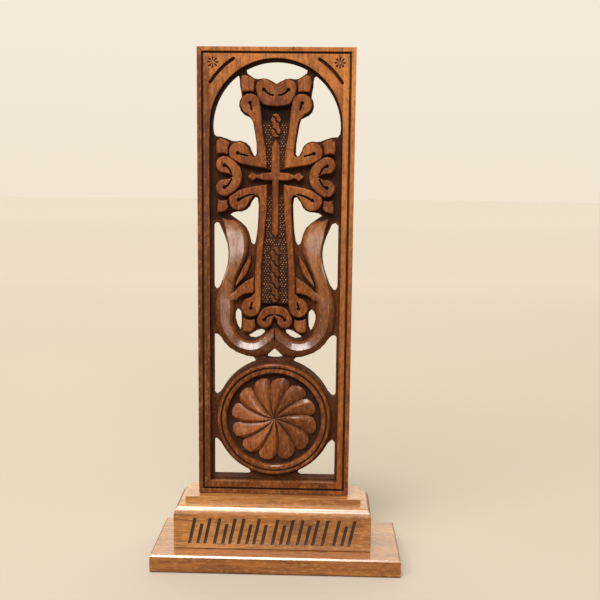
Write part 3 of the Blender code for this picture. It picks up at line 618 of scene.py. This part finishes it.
def build_floor():
    bm = bmesh.new()
    bmesh.ops.create_circle(bm, cap_ends=True, segments=96, radius=6.0)
    mesh = bpy.data.meshes.new("floor")
    bm.to_mesh(mesh)
    bm.free()
    mesh.materials.append(pale_floor())
    floor = bpy.data.objects.new("floor", mesh)
    bpy.context.scene.collection.objects.link(floor)


def build_camera():
    data = bpy.data.cameras.new("photo_camera")
    data.lens = LENS
    data.sensor_width = 36.0
    data.clip_start = 0.01
    camera = bpy.data.objects.new("photo_camera", data)
    look = Matrix.Rotation(TURN, 4, "Z") @ Matrix.Rotation(TILT, 4, "X") @ Matrix.Rotation(ROLL, 4, "Y")
    camera.matrix_world = Matrix.Translation(EYE) @ look @ Matrix.Rotation(math.pi / 2, 4, "X")
    bpy.context.scene.collection.objects.link(camera)
    bpy.context.scene.camera = camera


def lamp(name, kind, power, colour, way):
    """A light that shines the given way."""
    data = bpy.data.lights.new(name, kind)
    data.energy = power
    data.color = colour
    light = bpy.data.objects.new(name, data)
    light.rotation_euler = way.to_track_quat("-Z", "Y").to_euler()
    bpy.context.scene.collection.objects.link(light)
    return light


def soft_light(name, place, size, power, colour):
    """A lit rectangle that faces the part."""
    light = lamp(name, "AREA", power, colour, Vector(AIM) - Vector(place))
    light.location = place
    light.data.shape = "RECTANGLE"
    light.data.size, light.data.size_y = size
    light.visible_camera = False


def build_lights():
    sun = lamp("light_above", "SUN", 1.7, (1.0, 0.95, 0.86), Vector((0.1, 0.36, -0.93)))
    sun.data.angle = math.radians(14.0)
    soft_light("lamp_upper_left", (-0.2, -0.64, 0.64), (1.0, 0.26), 8.5, (1.0, 0.98, 0.96))
    soft_light("lamp_low_right", (0.27, -0.8, 0.08), (0.16, 0.3), 1.2, (0.97, 0.98, 1.0))
    soft_light("lamp_low_left", (-0.27, -0.8, 0.08), (0.12, 0.3), 0.4, (1.0, 0.96, 0.9))


def build_room():
    """Light from all round, brighter from behind, and a plain cream wall where the camera sees it."""
    world = bpy.data.worlds.new("cream_room")
    world.use_nodes = True
    nodes = world.node_tree.nodes
    links = world.node_tree.links

    def graded(value, none_at, full_at, none, full):
        node = nodes.new("ShaderNodeMapRange")
        for key, number in (("From Min", none_at), ("From Max", full_at), ("To Min", none), ("To Max", full)):
            node.inputs[key].default_value = number
        links.new(value, node.inputs["Value"])
        return node.outputs[0]

    way = nodes.new("ShaderNodeSeparateXYZ")
    links.new(nodes.new("ShaderNodeTexCoord").outputs["Generated"], way.inputs[0])
    around = nodes["Background"]
    around.inputs["Color"].default_value = (0.86, 0.81, 0.66, 1.0)
    links.new(graded(way.outputs["Y"], -0.2, 0.6, 0.22, 1.7), around.inputs["Strength"])

    tones = nodes.new("ShaderNodeMix")
    tones.data_type = "RGBA"
    tones.inputs[6].default_value = (0.88, 0.785, 0.64, 1.0)
    tones.inputs[7].default_value = (0.905, 0.823, 0.693, 1.0)
    links.new(graded(way.outputs["Z"], 0.0, 0.16, 0.0, 1.0), tones.inputs[0])
    wall = nodes.new("ShaderNodeBackground")
    links.new(tones.outputs[2], wall.inputs["Color"])

    both = nodes.new("ShaderNodeMixShader")
    links.new(nodes.new("ShaderNodeLightPath").outputs["Is Camera Ray"], both.inputs[0])
    links.new(around.outputs[0], both.inputs[1])
    links.new(wall.outputs[0], both.inputs[2])
    links.new(both.outputs[0], nodes["World Output"].inputs["Surface"])
    bpy.context.scene.world = world
    bpy.context.scene.view_settings.view_transform = "Standard"


walnut = varnished_walnut()
honey = varnished_base_wood("varnished_honey_wood", HONEY_GRAIN, HONEY_FLECK, (0.4, 0.2, 0.9), engraved)
russet = varnished_base_wood("varnished_russet_wood", RUSSET_GRAIN, RUSSET_FLECK, (0.8, 0.6, 0.3))

finished_copy("khachkar_panel", "carved_board", walnut, board_crease)
finished_copy("base_block", "moulded_block", honey, base_crease)
finished_copy("base_plate", "bottom_plate", russet, base_crease)
punched_dots(punched_walnut())
leaf_joins(walnut)

build_floor()
build_camera()
build_lights()
build_room()
